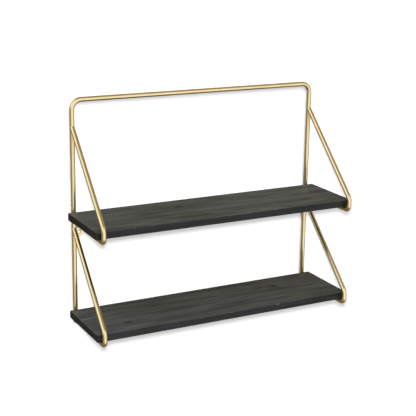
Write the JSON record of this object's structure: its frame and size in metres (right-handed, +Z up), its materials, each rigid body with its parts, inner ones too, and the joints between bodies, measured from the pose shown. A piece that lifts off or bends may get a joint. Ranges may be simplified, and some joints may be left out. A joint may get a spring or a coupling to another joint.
{
  "type": "wall shelf",
  "caption": "Two-tier wall shelf: dark stained wood boards carried by a bent brass-coloured rod frame with slanting rod brackets.",
  "frame": {"origin": "midway between the two wall eyelets' screw holes, on the wall plane", "axes": "+X along the boards to the viewer's right, +Y into the wall, +Z up"},
  "size_m": [0.6, 0.182, 0.481],
  "materials": {
    "brass_rod": "satin brass plating on bent steel rod",
    "black_stained_wood": "matt black stain with the grain showing",
    "screw_steel": "zinc-plated steel"
  },
  "bodies": {
    "root": {"back_frame": "brass_rod", "bracket_upper_left": "brass_rod", "bracket_upper_right": "brass_rod", "bracket_lower_left": "brass_rod", "bracket_lower_right": "brass_rod", "board_upper": "black_stained_wood", "board_lower": "black_stained_wood", "wall_eyelet_left": "brass_rod", "wall_eyelet_right": "brass_rod", "fixing_tab_upper_left": "brass_rod", "fixing_tab_upper_right": "brass_rod", "fixing_tab_lower_left": "brass_rod", "fixing_tab_lower_right": "brass_rod", "board_screws": "screw_steel", "welds": "brass_rod"}
  },
  "joints": []
}
